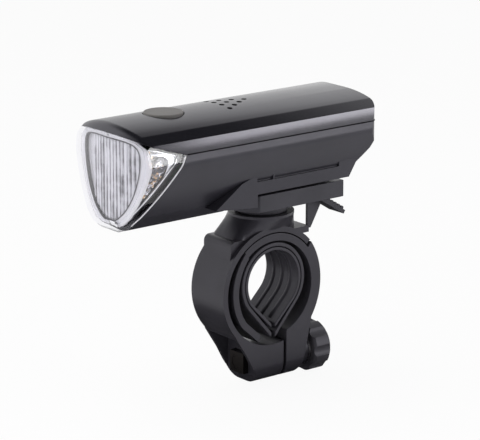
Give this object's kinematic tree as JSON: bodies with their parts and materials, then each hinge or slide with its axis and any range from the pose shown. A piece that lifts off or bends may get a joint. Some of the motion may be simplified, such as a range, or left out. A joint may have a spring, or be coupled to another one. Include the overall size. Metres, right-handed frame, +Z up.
{
  "type": "handlebar headlight",
  "caption": "Battery headlight with a clear wrap-round lens, on a slide-in swivelling bracket with a hinged ring clamp for a handlebar.",
  "frame": {"origin": "on the handlebar's axis, in the middle of the clamp's width, at the liner's bore", "axes": "+X along the handlebar, -Y the way the beam points, +Z up from the bar to the lamp"},
  "size_m": [0.042, 0.103, 0.103],
  "materials": {
    "cover_plastic": "polished dark grey, almost black",
    "button_rubber": "matte",
    "board": "satin solder mask",
    "switch_plastic": "matte",
    "steel": "zinc plated",
    "clear_lens": "clear polycarbonate, polished, fluted inside",
    "shell_plastic": "satin, fine grain",
    "seal_rubber": "matte",
    "reflector_chrome": "vacuum metallised, mirror bright",
    "led_lens": "clear epoxy",
    "cell_wrap": "plain printed sleeve",
    "contact_metal": "nickel plated",
    "bracket_plastic": "satin",
    "clamp_plastic": "satin, moulded",
    "liner_rubber": "matte"
  },
  "bodies": {
    "clamp": {"fixed_jaw": "clamp_plastic", "clamp_nut": "steel", "swivel_screw": "steel", "swivel_washer": "steel", "outer_shim": "liner_rubber", "inner_shim": "liner_rubber"},
    "jaw": {"swing_jaw": "clamp_plastic"},
    "washer": {"knob_washer": "steel"},
    "knob": {"clamp_screw": "steel", "clamp_knob": "bracket_plastic"},
    "plate": {"slide_plate": "bracket_plastic"},
    "tongue": {"release_tongue": "bracket_plastic"},
    "lamp": {"lower_shell": "shell_plastic", "rail_shoe": "shell_plastic", "shoe_screws": "steel", "front_lens": "clear_lens", "reflector": "reflector_chrome", "led_board": "board", "leds": "led_lens", "battery_left": "cell_wrap", "battery_right": "cell_wrap", "contact_plates": "contact_metal", "contact_springs": "contact_metal", "cover_seal": "seal_rubber"},
    "lid": {"top_cover": "cover_plastic", "main_board": "board", "tact_switch": "switch_plastic", "board_screws": "steel"},
    "button": {"button": "button_rubber"}
  },
  "joints": [
    {"name": "knob_turn", "type": "hinge", "parent": "washer", "child": "knob", "pos_m": [0, 0.02, -0.0297], "axis": [0, -1, 0], "range_deg": [0, 344.7]},
    {"name": "knob_advance", "type": "slide", "parent": "clamp", "child": "washer", "axis": [0, -1, 0], "range_m": [0, 0.000768]},
    {"name": "jaw_close", "type": "hinge", "parent": "clamp", "child": "jaw", "pos_m": [0, 0, -0.0026], "axis": [-1, 0, 0], "range_deg": [0, 2.11]},
    {"name": "plate_swivel", "type": "hinge", "parent": "clamp", "child": "plate", "pos_m": [0, 0.0015, 0.025], "axis": [0, 0, 1], "range_deg": [-45, 45]},
    {"name": "tongue_press", "type": "hinge", "parent": "plate", "child": "tongue", "pos_m": [0, 0.0157, 0.0268], "axis": [-1, 0, 0], "range_deg": [0, 8], "stiffness_Nm_per_rad": 0.35, "springref_deg": -2.86},
    {"name": "lamp_slide", "type": "slide", "parent": "plate", "child": "lamp", "axis": [0, -1, 0], "range_m": [0, 0.045]},
    {"name": "lid_lift", "type": "slide", "parent": "lamp", "child": "lid", "axis": [0, 0, 1], "range_m": [0, 0.03]},
    {"name": "button_press", "type": "slide", "parent": "lid", "child": "button", "axis": [0, 0, -1], "range_m": [0, 0.0008], "stiffness_N_per_m": 2000, "springref_m": -0.0003}
  ],
  "couplings": [
    {"joint": "knob_turn", "follows": "knob_advance", "rad_per_m": 7833},
    {"joint": "jaw_close", "follows": "knob_advance", "rad_per_m": 47.85}
  ]
}
